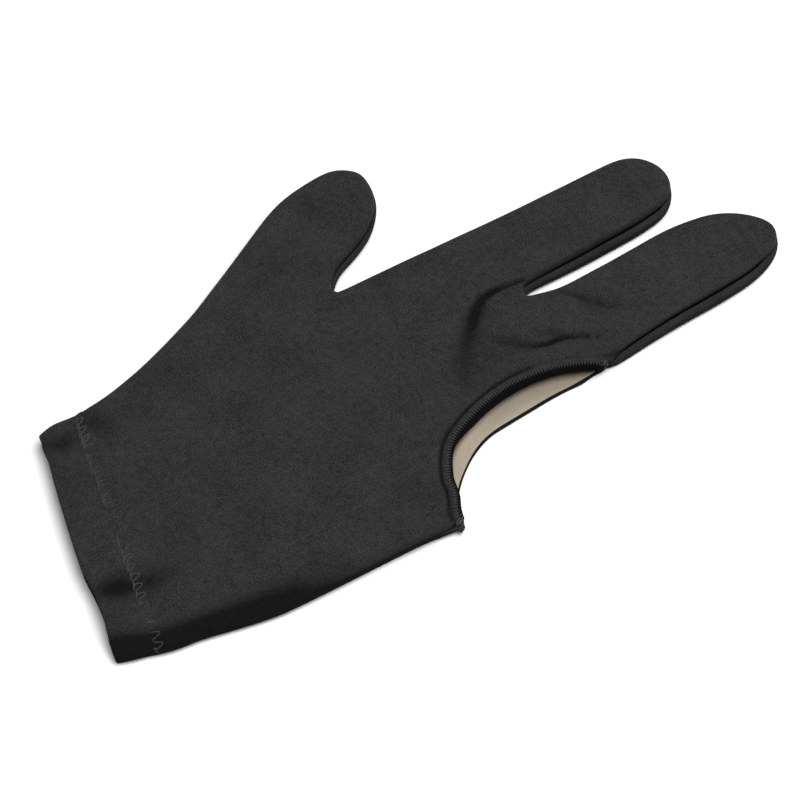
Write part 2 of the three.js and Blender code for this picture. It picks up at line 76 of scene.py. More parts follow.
# Rises beside the creases: rows of x, y, height and half width, in mm.
PUFF_LINES = [
    [(37.5, -5.2, 0.25, 1.8), (32.5, -5.6, 0.6, 2.6), (28.5, -8.0, 0.6, 3.4), (23.5, -13.5, 0.35, 4.4)],
    [(49.0, -17.0, 0.15, 3.0), (43.0, -20.2, 0.3, 3.2), (37.0, -19.2, 0.3, 3.0)],
    [(29.0, -25.0, 0.15, 2.2), (36.0, -28.5, 0.25, 2.0), (44.0, -30.0, 0.15, 2.0)],
]
# A place out beyond the opening, then the middle of the cuff's edge with its ways in and along.
OPENING_PLACE = np.array([16.0, -52.0]) * MM
CUFF_PLACE = np.array([-109.392, -9.614]) * MM
CUFF_HEADING = math.radians(80.6)
CUFF_INWARD = np.array([math.sin(CUFF_HEADING), -math.cos(CUFF_HEADING)])
CUFF_ALONG = np.array([math.cos(CUFF_HEADING), math.sin(CUFF_HEADING)])
CUFF_FADE = 2 * MM, 26 * MM
SEAM_HEIGHT = 4.6 * MM
BACK_FOOT = 4.83 * MM
JOINT_REACH = 0.33 * MM
SHARP_EDGE = math.radians(62)
EDGE_FIRMNESS = 0.45
# The widest tilt and the heights of cloth that counts as a side of the glove, and how far a roll reaches.
SIDE_TILT = 0.42
SIDE_LOW, SIDE_HIGH = 1.5 * MM, 7.2 * MM
ROLL_REACH = 3.2 * MM, 5.0 * MM
TOWARDS_CAMERA = np.array([-0.5, -0.866])
# Sides with a y above these are the thumb's or the index finger's, and those past this x may be at a tip.
THUMB_SIDE, INDEX_SIDE, TIPS_FROM = 20 * MM, -8 * MM, 60 * MM
TIP_FULLNESS = 0.2 * MM
GROOVE_DEPTH, GROOVE_PLACE, GROOVE_WIDTH = 0.5 * MM, 2.5 * MM, 0.6 * MM
HEEL_SINKS = 0.46
HEM_LINE = 11.0 * MM
# Soft waves of the cloth: size and height in mm, and the shift of their pattern.
CLOTH_WAVES = [(26, 0.22, (0, 0, 0)), (9, 0.10, (7, 3, 1)), (3, 0.035, (2, 9, 5))]
# Width and height of one loop of the knit, in mm, and the near-black colour painted in as shade.
WALE, COURSE = 0.5, 0.42
PAINTED_SHADE_COLOUR = (0.0025, 0.0025, 0.0026)
# How far the heel is drawn in at each x, and how far the cuff's edge bows out at each place along it, in mm.
HEEL_DRAWN_IN = [(-116, 0.4), (-113.5, 1.1), (-108, 2.2), (-101, 1.5), (-93.5, 1.7), (-86.5, 1.15),
                 (-79, 0.6), (-70, 0)]
CUFF_BOW = [(-38, 1.2), (-33, 1.4), (-30, 1.0), (-26, 0.65), (-20, 0.75), (-14, 1.4), (-9, 2.1), (-2, 2.05),
            (5, 1.95), (13, 1.65), (20, 1.25), (25, 0.9), (29, 0.8), (33, 1.2), (37, 0.6)]
# Shifts of the opening's soft edge: x, y, reach, move in x and move in y, in mm, and the layer that moves.
OPENING_EASES = [(-15.0, -58.0, 6.5, 1.5, -0.9, "both"), (-8.8, -46.5, 4.0, -1.1, 0.2, "upper"),
                 (45.5, -37.5, 4.0, 0.0, 2.1, "lower"), (39.5, -7.0, 4.0, -1.4, 0.3, "both")]
# How much of the second roll each digit's seam takes on, at each x in mm.
THUMB_SEAM = [(-20, 0.1), (40, 0.1)]
INDEX_SEAM = [(40, 0.25), (55, 0.75), (68, 1.0), (88, 1.0), (96, 0.3)]
MIDDLE_SEAM = [(42, 0.4), (56, 0.7), (70, 1.2), (92, 1.35), (106, 1.0), (114, 0.4)]
# Rolls of the seam, in the order that roll_sides gives: rows of height, inward move and lift, in mm.
BACK_ROLLS = [
    [(4.8, 0.9, 0.1), (5.6, 0.6, 0), (6.9, 0.45, -0.1), (8.15, 0.1, 0.05), (8.8, -0.4, 0), (9.0, 0, 0)],
    [(4.8, 1.3, 0), (5.6, 1.3, 0), (6.9, 1.3, 0), (8.15, 1.0, 0), (8.8, 0.65, 0), (9.0, 0, 0)],
    [(4.8, 0.9, 0.2), (5.6, 0.15, 0), (6.9, -0.05, 0), (8.15, -0.5, 0.25), (8.8, -0.8, 0.1), (9.0, 0, 0)],
    [(4.8, -1.0, -1.2), (5.6, -0.65, -1.1), (6.9, -0.4, -0.6), (8.15, -0.2, -0.3), (8.8, 0, -0.1),
     (9.0, 0, 0)],
]
PALM_ROLLS = [
    [(0.1, -0.9, 0), (1.0, -0.45, 0), (2.45, 0, 0.2), (3.7, -0.3, 0.15), (4.36, -0.45, 0.1)],
    [(0.1, 0, 0), (1.0, 0, 0), (2.45, 0, 0), (3.7, 0.5, 0), (4.36, 0.7, 0)],
    [(0.1, -0.3, 0), (1.0, -0.4, 0), (2.45, 0, 0.4), (3.7, 0.1, 0.6), (4.36, 1.0, 0.5)],
    [(0.1, -1.1, 0), (1.0, -0.4, 0), (2.45, 0.38, -0.4), (3.7, 0.9, -1.0), (4.36, 0.9, -1.3)],
]


def alone(piece):
    """Selects one piece and nothing else."""
    bpy.ops.object.select_all(action="DESELECT")
    piece.select_set(True)
    bpy.context.view_layer.objects.active = piece


def edit(piece, kind):
    """Opens a piece for editing by corner, edge or face, with nothing selected."""
    alone(piece)
    bpy.ops.object.mode_set(mode="EDIT")
    bpy.ops.mesh.select_mode(type=kind)
    bpy.ops.mesh.select_all(action="DESELECT")


def edit_faces(piece, chosen):
    """Opens a piece for editing with the chosen faces selected."""
    edit(piece, "FACE")
    bpy.ops.object.mode_set(mode="OBJECT")
    for face, wanted in zip(piece.data.polygons, chosen):
        face.select = bool(wanted)
    bpy.ops.object.mode_set(mode="EDIT")


def solid_copy(name, node):
    """A copy of a CAD node with its corners merged and its triangles paired."""
    piece = bpy.data.objects.new(name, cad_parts[node].data.copy())
    bpy.context.scene.collection.objects.link(piece)
    piece.data.name = name
    piece.data.materials.clear()
    alone(piece)
    bpy.ops.mesh.customdata_custom_splitnormals_clear()
    bpy.ops.object.mode_set(mode="EDIT")
    bpy.ops.mesh.select_all(action="SELECT")
    bpy.ops.mesh.remove_doubles(threshold=1e-6)
    bpy.ops.mesh.tris_convert_to_quads(face_threshold=math.radians(60), shape_threshold=math.radians(60))
    bpy.ops.object.mode_set(mode="OBJECT")
    return piece


def places(piece):
    """The piece's corners as an array of points."""
    found = np.empty(len(piece.data.vertices) * 3)
    piece.data.vertices.foreach_get("co", found)
    return found.reshape(-1, 3)


def place(piece, points):
    """Moves the piece's corners to the points."""
    piece.data.vertices.foreach_set("co", points.ravel())
    piece.data.update()


def normals_of(piece):
    """The piece's way out at each corner."""
    found = np.empty(len(piece.data.vertices) * 3)
    piece.data.vertex_normals.foreach_get("vector", found)
    return found.reshape(-1, 3)


def at_a_joint(a, b):
    """Which of the points a have one of the points b within a joint's reach."""
    gaps = np.linalg.norm(a[:, None, :] - b[None, :, :], axis=2)
    return gaps.min(axis=1) < JOINT_REACH


def one_cloth(name, body_node, digit_nodes):
    """Joins a panel's body and digits into one cloth, and closes the cuts between them."""
    body = solid_copy(name, body_node)
    digits = [solid_copy(f"{name}_{node}", node) for node in digit_nodes]
    others = np.concatenate([places(digit) for digit in digits])
    marks = {body: at_a_joint(places(body), others)}
    for digit in digits:
        marks[digit] = at_a_joint(places(digit), places(body))
    for part, near in marks.items():
        edit_faces(part, [all(near[corner] for corner in face.vertices) for face in part.data.polygons])
        bpy.ops.mesh.delete(type="FACE")
        bpy.ops.object.mode_set(mode="OBJECT")
    alone(body)
    for digit in digits:
        digit.select_set(True)
    bpy.ops.object.join()
    edit(body, "VERT")
    bpy.ops.mesh.select_non_manifold()
    bpy.ops.mesh.remove_doubles(threshold=JOINT_REACH)
    bpy.ops.object.mode_set(mode="OBJECT")
    return body


def finer(piece):
    """Rounds the faceted solid into smooth cloth that still passes through the solid's corners."""
    edit(piece, "EDGE")
    bpy.ops.mesh.edges_select_sharp(sharpness=SHARP_EDGE)
    bpy.ops.transform.edge_crease(value=EDGE_FIRMNESS)
    bpy.ops.object.mode_set(mode="OBJECT")
    rounder = piece.modifiers.new("finer", "SUBSURF")
    rounder.levels = rounder.render_levels = 2
    wanted = places(piece)
    for _ in range(2):
        bpy.context.view_layer.update()
        rounded = piece.evaluated_get(bpy.context.evaluated_depsgraph_get()).data
        shown = np.array([rounded.vertices[i].co for i in range(len(wanted))])
        place(piece, places(piece) + (wanted - shown) * 0.9)
    bpy.ops.object.modifier_apply(modifier=rounder.name)
    bpy.ops.object.shade_smooth()


def cloth_over(tree, spot):
    """The highest place of the cloth over a spot, or None."""
    return tree.ray_cast(Vector((spot.x, spot.y, HIGH_UP)), DOWN)[0]


def side_anchors(piece, full_height):
    """Places on the outer sides of a panel, with the way out and the height of the cloth behind each."""
    tree = surface_tree(piece)
    anchors = []
    for corner in piece.data.vertices:
        way = Vector((corner.normal.x, corner.normal.y, 0))
        if abs(corner.normal.z) > SIDE_TILT or not SIDE_LOW < corner.co.z < SIDE_HIGH:
            continue
        way.normalize()
        flat = np.array(corner.co[:2])
        by_opening = np.linalg.norm(bead_line[:, :2] - flat, axis=1).min() < 2.2 * MM
        on_edge = (flat - CUFF_PLACE) @ CUFF_INWARD < 1.5 * MM and np.array(way[:2]) @ CUFF_INWARD < -0.8
        if by_opening or on_edge or cloth_over(tree, corner.co + way * 0.6 * MM) is not None:
            continue
        top = cloth_over(tree, corner.co - way * 5.0 * MM)
        anchors.append((*corner.co, way.x, way.y, top.z if full_height and top else full_height))
    return np.array(anchors)


def roll_sides(piece, rolls, full_height):
    """Rolls the cloth in or out along its seam, and evens out the height of the back's face.

    The four rolls are for sides that face the camera, for how much more those roll whose seam lies far in,
    for sides that face away, and for the heel of the hand."""
    points = places(piece)
    anchors = side_anchors(piece, full_height)
    x, y = anchors[:, 0], anchors[:, 1]
    facing = smooth_step(anchors[:, 3:5] @ TOWARDS_CAMERA, 0.0, 0.5)
    heel = facing * smooth_step(-x, 14 * MM, 20 * MM) * (y < 0)
    thumb, index, middle = (np.interp(x / MM, *np.array(rows).T)
                            for rows in (THUMB_SEAM, INDEX_SEAM, MIDDLE_SEAM))
    far_in = np.where(y > THUMB_SIDE, thumb, np.where(y > INDEX_SIDE, index, middle))
    near = facing - heel
    weights = np.column_stack([near, near * far_in, 1 - facing, heel])
    tip = smooth_step(anchors[:, 3], 0.5, 1.0) * (x > TIPS_FROM) * TIP_FULLNESS
    nearest = np.linalg.norm(points[:, None, :2] - anchors[None, :, :2], axis=2)
    which = nearest.argmin(axis=1)
    share = 1 - smooth_step(nearest.min(axis=1), *ROLL_REACH)
    heights = points[:, 2].copy()
    if full_height:
        scale = (full_height - BACK_FOOT) / np.maximum(anchors[which, 5] - BACK_FOOT, 1 * MM)
        heights = np.where(heights > BACK_FOOT, BACK_FOOT + (heights - BACK_FOOT) * scale, heights)
    inward, lift = -tip[which], np.zeros(len(points))
    for k, rows in enumerate(rolls):
        table = np.array(rows) * MM
        inward = inward + weights[which, k] * np.interp(heights, table[:, 0], table[:, 1])
        lift = lift + weights[which, k] * np.interp(heights, table[:, 0], table[:, 2])
    by_cuff = 1 - smooth_step((points[:, :2] - CUFF_PLACE) @ CUFF_INWARD, 12 * MM, 18 * MM)
    inward = np.where(inward > 0, inward * (1 - 0.75 * by_cuff), inward)
    points[:, :2] -= anchors[which, 3:5] * (inward * share)[:, None]
    points[:, 2] += lift * share
    place(piece, points)


def surface_tree(piece):
    """A piece's faces, ready for rays."""
    piece.data.calc_loop_triangles()
    corners = [v.co.copy() for v in piece.data.vertices]
    return BVHTree.FromPolygons(corners, [tuple(t.vertices) for t in piece.data.loop_triangles])


def shape_cuff(piece):
    """Lets the cuff's edge bow out a little, as soft cloth does, and come to rest by its lower corner."""
    points = places(piece)
    inside = (points[:, :2] - CUFF_PLACE) @ CUFF_INWARD
    across = (points[:, :2] - CUFF_PLACE) @ CUFF_ALONG
    bow = np.interp(across / MM, *np.array(CUFF_BOW).T)
    share = 1 - smooth_step(inside, *CUFF_FADE)
    points[:, :2] -= CUFF_INWARD * (bow * share * MM)[:, None]
    place(piece, points)


def bell(value, width):
    """One at zero, fading away over the width to either side."""
    return np.exp(-((value / width) ** 2))


def smooth_step(value, low, high):
    """Zero up to low and one from high on, with a soft slope between them."""
    t = np.clip((value - low) / (high - low), 0.0, 1.0)
    return t * t * (3 - 2 * t)


def eased(points):
    """The points moved as the soft edges of the opening have shifted, each ease within its own reach."""
    points = points.copy()
    height = points[:, 2].copy()
    layers = {"both": 1.0, "upper": smooth_step(height, 4.5 * MM, 7.0 * MM),
              "lower": 1 - smooth_step(height, 3.0 * MM, 6.0 * MM)}
    spots = points[:, :2].copy()
    for x, y, span, right, up, layer in OPENING_EASES:
        gap = np.linalg.norm(spots - np.array([x, y]) * MM, axis=1)
        points[:, :2] += (bell(gap, span * MM) * layers[layer])[:, None] * np.array([right, up]) * MM
    return points


def slumped(points):
    """The points lowered and drawn in where the empty cuff has sunk down along the heel of the hand."""
    gap, _ = along_line(points[:, :2], heel_line)
    share = (1 - smooth_step(gap, 0.0, 11 * MM)) * smooth_step(-points[:, 0], 35 * MM, 75 * MM)
    points = points.copy()
    points[:, 2] *= 1 - HEEL_SINKS * share
    drawn = np.interp(points[:, 0] / MM, *np.array(HEEL_DRAWN_IN).T) * MM
    points[:, 1] += drawn * (1 - smooth_step(gap, 2 * MM, 14 * MM))
    return points


def along_line(points, line):
    """Each point's distance to a line of places, and the line's further columns at the nearest place."""
    best = np.full(len(points), np.inf)
    columns = np.zeros((len(points), line.shape[1] - 2))
    for a, b in zip(line[:-1], line[1:]):
        step = b[:2] - a[:2]
        share = np.clip((points - a[:2]) @ step / (step @ step), 0, 1)
        gap = np.linalg.norm(points - a[:2] - share[:, None] * step, axis=1)
        closer = gap < best
        best[closer] = gap[closer]
        columns[closer] = (a[2:] + share[:, None] * (b[2:] - a[2:]))[closer]
    return best, columns


def bead_rings():
    """Centres of the rings of the CAD bead round the opening, in order."""
    bead = bmesh.new()
    bead.from_mesh(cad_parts["opening_edging"].data)
    bmesh.ops.remove_doubles(bead, verts=bead.verts, dist=1e-6)
    bead.verts.ensure_lookup_table()
    ring_of = {}
    rings = []
    for first in bead.verts:
        if first.index in ring_of:
            continue
        ring, todo = [], [first]
        ring_of[first.index] = len(rings)
        while todo:
            corner = todo.pop()
            ring.append(corner)
            for edge in corner.link_edges:
                other = edge.other_vert(corner)
                if edge.calc_length() < 1.4 * MM and other.index not in ring_of:
                    ring_of[other.index] = len(rings)
                    todo.append(other)
        rings.append(ring)
    next_to = {i: {ring_of[e.other_vert(c).index] for c in ring for e in c.link_edges} - {i}
               for i, ring in enumerate(rings)}
    order, last, here = [0], None, 0
    while True:
        onward = [i for i in next_to[here] if i != last and (i not in order or (i == 0 and len(order) > 2))]
        if not onward or onward[0] == 0:
            break
        last, here = here, onward[0]
        order.append(here)
    centres = [sum((c.co for c in rings[i]), Vector()) / len(rings[i]) for i in order]
    bead.free()
    return np.array(centres)


def curved(points, steps):
    """A smooth closed line through the points, with even steps between each two."""
    made = []
    for i in range(len(points)):
        a, b, c, d = (points[(i + k) % len(points)] for k in (-1, 0, 1, 2))
        for t in np.arange(steps) / steps:
            made.append(0.5 * (2 * b + (c - a) * t + (2 * a - 5 * b + 4 * c - d) * t**2
                               + (3 * b - a - 3 * c + d) * t**3))
    return np.array(made)


bead_line = eased(curved(bead_rings(), 6))
upper_bead = bead_line[bead_line[:, 2] > 7.0 * MM]
heel_line = np.array([v.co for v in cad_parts["back_body"].data.vertices
                      if abs(v.co.z - 5.6 * MM) < 0.15 * MM and v.co.x < -17 * MM and v.co.y < -38 * MM])
heel_line = heel_line[np.unique(np.round(heel_line[:, 0] / MM), return_index=True)[1]]


def from_upper_bead(points):
    """How far each point lies from the opening's upper edge, seen from above."""
    return np.linalg.norm(points[:, None, :2] - upper_bead[None, ::3, :2], axis=2).min(axis=1)


def closer_mesh(piece, wanted):
    """Splits the faces whose centres pass the test into finer ones."""
    centres = np.array([face.center for face in piece.data.polygons])
    edit_faces(piece, wanted(centres))
    bpy.ops.mesh.subdivide(number_cuts=2)
    bpy.ops.object.mode_set(mode="OBJECT")


def by_a_crease(centres):
    """Whether a place on the back is in a crease or in the groove beside the opening."""
    found = from_upper_bead(centres) < 4.6 * MM
    for rows in WEB_CREASES:
        gap, facts = along_line(centres[:, :2], np.array(rows) * MM)
        found |= gap < facts[:, 1] * 2.2 + 0.6 * MM
    return found & (centres[:, 2] > 8.3 * MM)


def bead_groove(points):
    """How deep each point lies in the groove beside the opening, which fades out towards the index finger."""
    fading = 1 - 0.8 * smooth_step(points[:, 0], 22 * MM, 34 * MM)
    return fading * bell(from_upper_bead(points) - GROOVE_PLACE, GROOVE_WIDTH)


def relief(points, upper):
    """How far the cloth is raised at each place: creases, puffs, the hem's puckers and soft waves."""
    flat = points[:, :2]
    height = np.zeros(len(points))
    if upper:
        for sign, lines in ((-1, WEB_CREASES + DENTS), (1, PUFF_LINES)):
            for rows in lines:
                gap, facts = along_line(flat, np.array(rows) * MM)
                height += sign * facts[:, 0] * bell(gap, facts[:, 1])
        height -= GROOVE_DEPTH * bead_groove(points)
        height += 0.25 * MM * bell(from_upper_bead(points) - 5.2 * MM, 1.6 * MM)
    inside = (flat - CUFF_PLACE) @ CUFF_INWARD
    turns = (flat - CUFF_PLACE) @ CUFF_ALONG / MM * 2 * math.pi
    ripple = np.sin(turns / 6.3) * 0.5 + np.sin(turns / 2.9 + 1.0) * 0.3
    height -= bell(inside - HEM_LINE, 2.2 * MM) * (0.28 + 0.16 * ripple) * MM
    waves = np.array([sum(rise * noise.noise(Vector(p) / (size * MM) + Vector(shift))
                          for size, rise, shift in CLOTH_WAVES) for p in points])
    return height + waves * MM * (1.0 if upper else 0.5)


def settle(piece, upper):
    """Gives the cloth its relief, which fades out towards the seam so that both layers still meet there."""
    points = places(piece)
    if upper:
        share = smooth_step(points[:, 2], SEAM_HEIGHT + 0.4 * MM, SEAM_HEIGHT + 3.4 * MM)
        points[:, 2] += relief(points, True) * share
    else:
        share = smooth_step(SEAM_HEIGHT - points[:, 2], 0.2 * MM, 2.6 * MM)
        lift = relief(points, False) * share
        points[:, 2] = np.maximum(points[:, 2] + lift * (points[:, 2] > 1.5 * MM), 0.01 * MM)
    place(piece, points)


def lay_out(piece, face_height):
    """Gives the cloth a map in millimetres that runs on down its rounded sides."""
    points = places(piece)
    drop = np.abs(face_height - points[:, 2])
    flat = (points[:, :2] + normals_of(piece)[:, :2] * drop[:, None]) / MM
    corners = np.empty(len(piece.data.loops), dtype=int)
    piece.data.loops.foreach_get("vertex_index", corners)
    while piece.data.uv_layers:
        piece.data.uv_layers.remove(piece.data.uv_layers[0])
    piece.data.uv_layers.new(name="cloth").data.foreach_set("uv", flat[corners].ravel())


def store_painted_shade(piece, shades):
    """Stores each corner's painted shade, which the finishes read."""
    marks = piece.data.attributes.get("painted_shade") or piece.data.attributes.new("painted_shade", "FLOAT", "POINT")
    marks.data.foreach_set("value", shades)


def paint_shade(piece, upper):
    """Paints shade into the cloth: in its creases, dents and groove, along the heel, at the seam and low down
    the sides.
    """
    points = places(piece)
    height = points[:, 2]
    upward = normals_of(piece)[:, 2]
    if upper:
        shade = bead_groove(points)
        for rows in WEB_CREASES + DENTS:
            gap, facts = along_line(points[:, :2], np.array(rows) * MM)
            shade += facts[:, 0] / MM * bell(gap, facts[:, 1])
        # Painted shade along the heel of the hand, growing towards the cuff.
        gap, _ = along_line(points[:, :2], heel_line)
        by_heel = 1 - smooth_step(gap, 2.5 * MM, 9 * MM)
        shade += 0.95 * by_heel * smooth_step(-points[:, 0], 45 * MM, 80 * MM)
        # Painted shade at the seam, low down the back's sides and on every steep face.
        shade += 0.9 * bell(height - SEAM_HEIGHT - 0.3 * MM, 0.5 * MM)
        shade += 0.6 * (1 - smooth_step(height, 4.9 * MM, 8.0 * MM))
        shade += 0.35 * smooth_step(1 - np.abs(upward), 0.4, 0.9)
    else:
        # Painted shade low on the palm's sides, left off the faces that look down.
        shade = 0.8 * (1 - smooth_step(-upward, 0.85, 0.98)) * (1 - smooth_step(height, 3.3 * MM, 4.7 * MM))
    store_painted_shade(piece, np.clip(shade, 0, 1))


class Wire:
    """A shader socket that adds its Math nodes when it is used in sums."""

    def __init__(self, finish, socket):
        self.finish, self.socket = finish, socket

    def sum(self, operation, *others):
        """The outcome of one Math node."""
        inputs = dict(enumerate((self, *others)))
        return self.finish.node("ShaderNodeMath", {"operation": operation}, inputs)

    def __add__(self, other):
        return self.sum("ADD", other)

    def __mul__(self, other):
        return self.sum("MULTIPLY", other)

    def __sub__(self, other):
        return self.sum("SUBTRACT", other)


class Finish:
    """A material whose nodes are added one by one."""

    def __init__(self, name):
        self.material = bpy.data.materials.new(name)
        self.material.use_nodes = True
        self.tree = self.material.node_tree
        self.tree.nodes.clear()

    def node(self, kind, settings=None, inputs=None, output=0):
        """Adds a node, sets or links its inputs, and gives one of its outputs."""
        made = self.tree.nodes.new(kind)
        for key, value in (settings or {}).items():
            setattr(made, key, value)
        for key, value in (inputs or {}).items():
            if isinstance(value, Wire):
                self.tree.links.new(value.socket, made.inputs[key])
            else:
                made.inputs[key].default_value = value
        return Wire(self, made.outputs[output]) if made.outputs else None

    def blend(self, factor, a, b):
        """A colour between two others, each given as a colour or a wire."""
        ends = {key: end if isinstance(end, Wire) else (*end, 1) for key, end in (("A", a), ("B", b))}
        return self.node("ShaderNodeMix", {"data_type": "RGBA", "clamp_factor": True},
                         {"Factor": factor, **ends}, output=2)

    def surface(self, inputs):
        """Ends the material with one plain surface."""
        shader = self.node("ShaderNodeBsdfPrincipled", None, inputs)
        self.node("ShaderNodeOutputMaterial", None, {"Surface": shader})
        return self.material


def knit_finish(name, dark, light):
    """Fine stretch knit: columns of small loops with a soft, slightly uneven pile."""
    knit = Finish(name)
    cloth = knit.node("ShaderNodeUVMap", {"uv_map": "cloth"})

    def spots(scale, detail, roughness):
        """Uneven spots of fibre, at so many to the millimetre."""
        return knit.node("ShaderNodeTexNoise", {"noise_dimensions": "2D"},
                         {"Vector": cloth, "Scale": scale, "Detail": detail, "Roughness": roughness})

    along = knit.node("ShaderNodeSeparateXYZ", None, {0: cloth}, output=0)
    across = knit.node("ShaderNodeSeparateXYZ", None, {0: cloth}, output=1)
    column = (across * (1 / WALE)).sum("FRACT")
    slant = ((column - 0.5) * 2.0).sum("ABSOLUTE")
    loop = ((along * (1 / COURSE) + slant * 0.5) * (2 * math.pi)).sum("SINE")
    ridge = (column * math.pi).sum("SINE")
    stitch = ridge * 0.6 + loop * 0.25 + 0.15
    fuzz, fibre = spots(1.9, 3.0, 0.65), spots(5.5, 2.0, 0.6)
    patch, mottle = spots(0.07, 3.0, 0.55), spots(0.5, 2.0, 0.5)
    tone = stitch * 0.25 + fuzz * 1.9 + fibre * 0.9 + mottle * 0.55 + patch * 0.5 - 1.5
    rise = stitch * 0.5 + fuzz * 0.9 + fibre * 0.4
    bump = knit.node("ShaderNodeBump", None, {"Height": rise, "Strength": 0.55, "Distance": 0.12 * MM})
    pile = knit.node("ShaderNodeBsdfPrincipled", None,
                     {"Base Color": knit.blend(tone, dark, light), "Roughness": 0.9, "Normal": bump,
                      "Specular IOR Level": 0.12, "Sheen Weight": 0.05, "Sheen Roughness": 0.5})
    # Painted shade: a near-black surface that the corners' painted shade mixes in, in creases, grooves and
    # down the sides.
    shadow = knit.node("ShaderNodeBsdfPrincipled", None,
                       {"Base Color": (*PAINTED_SHADE_COLOUR, 1), "Roughness": 1.0, "Specular IOR Level": 0.0})
    painted_shade = knit.node("ShaderNodeAttribute", {"attribute_name": "painted_shade"}, output=2)
    surface = knit.node("ShaderNodeMixShader", None, {0: painted_shade * 0.8, 1: pile, 2: shadow})
    knit.node("ShaderNodeOutputMaterial", None, {"Surface": surface})
    return knit.material


back = one_cloth("back_panel", "back_body", ["back_thumb", "back_index", "back_middle"])
roll_sides(back, BACK_ROLLS, full_height=9.0 * MM)
shape_cuff(back)
finer(back)
place(back, eased(places(back)))
closer_mesh(back, by_a_crease)
settle(back, upper=True)
place(back, slumped(places(back)))
lay_out(back, face_height=8.6 * MM)
paint_shade(back, upper=True)
back.data.materials.append(knit_finish("charcoal_knit_back", dark=(0.0028, 0.0028, 0.0029),
                                       light=(0.0252, 0.0252, 0.0265)))
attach(back, "root")
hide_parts("back_body", "back_thumb", "back_index", "back_middle")

# Palm of the glove
# The lower layer of the same knit and outline, a little fuller along the seams. It lies flat on the floor and
# carries the back panel, which is sewn to it edge to edge.

palm = one_cloth("palm_panel", "palm_body", ["palm_thumb", "palm_index", "palm_middle"])
roll_sides(palm, PALM_ROLLS, full_height=0)
shape_cuff(palm)
finer(palm)
place(palm, eased(places(palm)))
settle(palm, upper=False)
place(palm, slumped(places(palm)))
lay_out(palm, face_height=0.4 * MM)
paint_shade(palm, upper=False)
palm.data.materials.append(knit_finish("charcoal_knit_palm", dark=(0.0027, 0.0027, 0.0028),
                                       light=(0.0235, 0.0235, 0.0247)))
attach(palm, "root")
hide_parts("palm_body", "palm_thumb", "palm_index", "palm_middle")

# Side seam
# The allowances of both layers, turned in and machine-sewn together. A narrow strip of them closes the joint
# along both sides and round the digits.

STRIP_LOW = 3.9 * MM
STRIP_RISE = 0.42 * MM
# How much painted shade the whole strip gets, as the shade deep in the side seam's groove.
STRIP_SHADE = 0.85

seam = palm.copy()
seam.data = palm.data.copy()
seam.name = seam.data.name = "side_seam"
bpy.context.scene.collection.objects.link(seam)
points = places(seam)
before_sinking = points[:, 2] ** 2 / np.maximum(slumped(points)[:, 2], 1e-6)
roof = surface_tree(back)


def off_the_strip(face):
    """Whether a face is too low or too steep for the allowances, or not covered by the back."""
    low = min(before_sinking[corner] for corner in face.vertices) < STRIP_LOW
    open_above = roof.ray_cast(face.center, -DOWN, 2 * MM)[0] is None
    return bool(low or face.normal.z < 0.45 or open_above)


for face in seam.data.polygons:
    face.select = off_the_strip(face)
alone(seam)
bpy.ops.object.mode_set(mode="EDIT")
bpy.ops.mesh.select_mode(type="FACE")
bpy.ops.mesh.delete(type="FACE")
bpy.ops.mesh.select_all(action="SELECT")
bpy.ops.mesh.extrude_region_move(TRANSFORM_OT_translate={"value": (0, 0, STRIP_RISE)})
bpy.ops.mesh.select_all(action="SELECT")
bpy.ops.mesh.normals_make_consistent(inside=False)
bpy.ops.object.mode_set(mode="OBJECT")
lay_out(seam, face_height=0.4 * MM)
# Painted shade over the whole strip.
store_painted_shade(seam, np.full(len(seam.data.vertices), STRIP_SHADE))
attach(seam, "root")

# Lining of the palm
# A smooth beige sheet that faces the inside of the palm and is seen as a crescent in the finger opening. It
# is laid on the palm panel and held by the seams around it.

LINING_TONES = (0.205, 0.166, 0.116), (0.308, 0.265, 0.208)
# LINING_SHADE is the brown painted in as shadow.
LINING_SHADE = (0.020, 0.012, 0.007)
# How far the sheet is drawn out to the lower edge of the opening, and the lift that its faces below and above
# its middle get there.
DRAWN_OUT = 1.5 * MM
LINING_MIDDLE = 1.8 * MM
LINING_LIFTS = 0.75 * MM, 0.25 * MM
# The painted shadow under the opening's upper edge: rows of x and of where it starts to fade and ends, in mm.
EDGE_SHADE = [(-4, -0.5, 1.8), (6, -0.5, 1.2), (18, -0.6, 0.9), (30, -0.9, 0.5), (40, -1.0, 0.3)]


def lining_finish():
    """Smooth close-woven beige cloth with a faint grain."""
    weave = Finish("beige_lining")
    spot = weave.node("ShaderNodeTexCoord", output=3)
    grain = weave.node("ShaderNodeTexNoise", None, {"Vector": spot, "Scale": 1400.0, "Detail": 3.0})
    cloud = weave.node("ShaderNodeTexNoise", None, {"Vector": spot, "Scale": 60.0, "Detail": 2.0})
    shade = weave.node("ShaderNodeAttribute", {"attribute_name": "painted_shade"}, output=2)
    plain = weave.blend(grain * 0.6 + cloud * 0.6 - 0.1, *LINING_TONES)
    bump = weave.node("ShaderNodeBump", None, {"Height": grain, "Strength": 0.3, "Distance": 0.08 * MM})
    # The beige is blended towards brown by the painted shadow.
    return weave.surface({"Base Color": weave.blend(shade, plain, LINING_SHADE), "Roughness": 0.7,
                          "Specular IOR Level": 0.3, "Normal": bump})


